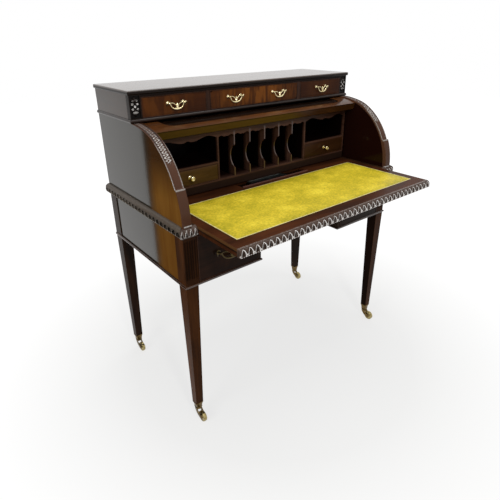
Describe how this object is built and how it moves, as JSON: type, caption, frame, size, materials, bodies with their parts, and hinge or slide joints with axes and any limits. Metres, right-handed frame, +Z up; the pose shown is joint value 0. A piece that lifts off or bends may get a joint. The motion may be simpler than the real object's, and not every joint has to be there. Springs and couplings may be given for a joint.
{
  "type": "cylinder desk",
  "caption": "Mahogany cylinder desk on tapered legs with casters: a curved fall rolls back over a pull-out leather writing slide, with a pigeonhole gallery and brass-handled drawers.",
  "frame": {"origin": "on the floor, under the middle of the desk's overall box with the writing slide out", "axes": "+Z up, -Y towards the sitter, +X to the desk's right as the sitter faces it"},
  "size_m": [1.035, 0.75, 1.125],
  "materials": {
    "mahogany": "French polished",
    "figured_mahogany": "French polished",
    "carcase_wood": "satin",
    "leather": "tooled and waxed",
    "brass": "polished",
    "steel": "turned"
  },
  "bodies": {
    "case": {"front_legs": "mahogany", "back_legs": "mahogany", "caster_cups": "brass", "pedestal_floors": "carcase_wood", "side_panels": "mahogany", "kneehole_sides": "carcase_wood", "back_panels": "carcase_wood", "deck_board": "carcase_wood", "guide_strips": "carcase_wood", "waist_mouldings": "mahogany", "bead_mouldings": "mahogany", "cheek_left": "mahogany", "cheek_right": "mahogany", "arch_facings": "mahogany", "pivot_pins": "steel", "base_moulding": "mahogany", "top_case_boards": "mahogany", "carved_stiles": "mahogany", "drawer_partitions": "mahogany", "top_board": "mahogany", "gallery_base": "mahogany", "gallery_case": "mahogany", "gallery_partitions": "mahogany", "pigeonhole_dividers": "mahogany", "gallery_valance": "mahogany"},
    "writing_slide": {"slide_boards": "mahogany", "leather_skiver": "leather", "slide_nosing": "mahogany", "pen_tray": "mahogany"},
    "cylinder": {"cylinder_panel": "mahogany", "cylinder_frame": "mahogany", "cylinder_arms": "mahogany"},
    "top_drawer_left": {"top_drawer_left": "figured_mahogany", "posts_top_left": "brass"},
    "top_drawer_centre": {"top_drawer_centre": "figured_mahogany", "posts_top_centre": "brass"},
    "top_drawer_right": {"top_drawer_right": "figured_mahogany", "posts_top_right": "brass"},
    "lower_drawer_left": {"lower_drawer_left": "figured_mahogany", "posts_lower_left": "brass"},
    "lower_drawer_right": {"lower_drawer_right": "figured_mahogany", "posts_lower_right": "brass"},
    "gallery_drawer_left": {"gallery_drawer_left": "figured_mahogany", "knob_left": "brass"},
    "gallery_drawer_right": {"gallery_drawer_right": "figured_mahogany", "knob_right": "brass"},
    "bail_top_left": {"bail_top_left": "brass"},
    "bail_centre_left": {"bail_centre_left": "brass"},
    "bail_centre_right": {"bail_centre_right": "brass"},
    "bail_top_right": {"bail_top_right": "brass"},
    "bail_lower_left": {"bail_lower_left": "brass"},
    "bail_lower_right": {"bail_lower_right": "brass"},
    "caster_fork_front_left": {"caster_fork_front_left": "brass"},
    "caster_wheel_front_left": {"caster_wheel_front_left": "brass"},
    "caster_fork_front_right": {"caster_fork_front_right": "brass"},
    "caster_wheel_front_right": {"caster_wheel_front_right": "brass"},
    "caster_fork_back_left": {"caster_fork_back_left": "brass"},
    "caster_wheel_back_left": {"caster_wheel_back_left": "brass"},
    "caster_fork_back_right": {"caster_fork_back_right": "brass"},
    "caster_wheel_back_right": {"caster_wheel_back_right": "brass"}
  },
  "joints": [
    {"name": "writing_slide_pull", "type": "slide", "parent": "case", "child": "writing_slide", "axis": [0, -1, 0], "range_m": [-0.204, 0]},
    {"name": "cylinder_roll", "type": "hinge", "parent": "case", "child": "cylinder", "pos_m": [0, 0.105, 0.77], "axis": [1, 0, 0], "range_deg": [0, 70.8]},
    {"name": "top_drawer_left_pull", "type": "slide", "parent": "case", "child": "top_drawer_left", "axis": [0, -1, 0], "range_m": [0, 0.19]},
    {"name": "top_drawer_centre_pull", "type": "slide", "parent": "case", "child": "top_drawer_centre", "axis": [0, -1, 0], "range_m": [0, 0.19]},
    {"name": "top_drawer_right_pull", "type": "slide", "parent": "case", "child": "top_drawer_right", "axis": [0, -1, 0], "range_m": [0, 0.19]},
    {"name": "lower_drawer_left_pull", "type": "slide", "parent": "case", "child": "lower_drawer_left", "axis": [0, -1, 0], "range_m": [0, 0.33]},
    {"name": "lower_drawer_right_pull", "type": "slide", "parent": "case", "child": "lower_drawer_right", "axis": [0, -1, 0], "range_m": [0, 0.33]},
    {"name": "gallery_drawer_left_pull", "type": "slide", "parent": "case", "child": "gallery_drawer_left", "axis": [0, -1, 0], "range_m": [0, 0.085]},
    {"name": "gallery_drawer_right_pull", "type": "slide", "parent": "case", "child": "gallery_drawer_right", "axis": [0, -1, 0], "range_m": [0, 0.085]},
    {"name": "bail_top_left_swing", "type": "hinge", "parent": "top_drawer_left", "child": "bail_top_left", "pos_m": [-0.342, 0.094, 1.077], "axis": [-1, 0, 0], "range_deg": [0, 85]},
    {"name": "bail_centre_left_swing", "type": "hinge", "parent": "top_drawer_centre", "child": "bail_centre_left", "pos_m": [-0.104, 0.094, 1.077], "axis": [-1, 0, 0], "range_deg": [0, 85]},
    {"name": "bail_centre_right_swing", "type": "hinge", "parent": "top_drawer_centre", "child": "bail_centre_right", "pos_m": [0.104, 0.094, 1.077], "axis": [-1, 0, 0], "range_deg": [0, 85]},
    {"name": "bail_top_right_swing", "type": "hinge", "parent": "top_drawer_right", "child": "bail_top_right", "pos_m": [0.342, 0.094, 1.077], "axis": [-1, 0, 0], "range_deg": [0, 85]},
    {"name": "bail_lower_left_swing", "type": "hinge", "parent": "lower_drawer_left", "child": "bail_lower_left", "pos_m": [-0.332, -0.171, 0.648], "axis": [-1, 0, 0], "range_deg": [0, 85]},
    {"name": "bail_lower_right_swing", "type": "hinge", "parent": "lower_drawer_right", "child": "bail_lower_right", "pos_m": [0.332, -0.171, 0.648], "axis": [-1, 0, 0], "range_deg": [0, 85]},
    {"name": "caster_swivel_front_left", "type": "hinge", "parent": "case", "child": "caster_fork_front_left", "pos_m": [-0.48, -0.137, 0.02], "axis": [0, 0, 1], "continuous": true},
    {"name": "caster_roll_front_left", "type": "hinge", "parent": "caster_fork_front_left", "child": "caster_wheel_front_left", "pos_m": [-0.48, -0.165, 0.02], "axis": [1, 0, 0], "continuous": true},
    {"name": "caster_swivel_front_right", "type": "hinge", "parent": "case", "child": "caster_fork_front_right", "pos_m": [0.48, -0.137, 0.02], "axis": [0, 0, 1], "continuous": true},
    {"name": "caster_roll_front_right", "type": "hinge", "parent": "caster_fork_front_right", "child": "caster_wheel_front_right", "pos_m": [0.48, -0.165, 0.02], "axis": [1, 0, 0], "continuous": true},
    {"name": "caster_swivel_back_left", "type": "hinge", "parent": "case", "child": "caster_fork_back_left", "pos_m": [-0.48, 0.355, 0.02], "axis": [0, 0, 1], "continuous": true},
    {"name": "caster_roll_back_left", "type": "hinge", "parent": "caster_fork_back_left", "child": "caster_wheel_back_left", "pos_m": [-0.48, 0.327, 0.02], "axis": [1, 0, 0], "continuous": true},
    {"name": "caster_swivel_back_right", "type": "hinge", "parent": "case", "child": "caster_fork_back_right", "pos_m": [0.48, 0.355, 0.02], "axis": [0, 0, 1], "continuous": true},
    {"name": "caster_roll_back_right", "type": "hinge", "parent": "caster_fork_back_right", "child": "caster_wheel_back_right", "pos_m": [0.48, 0.327, 0.02], "axis": [1, 0, 0], "continuous": true}
  ]
}
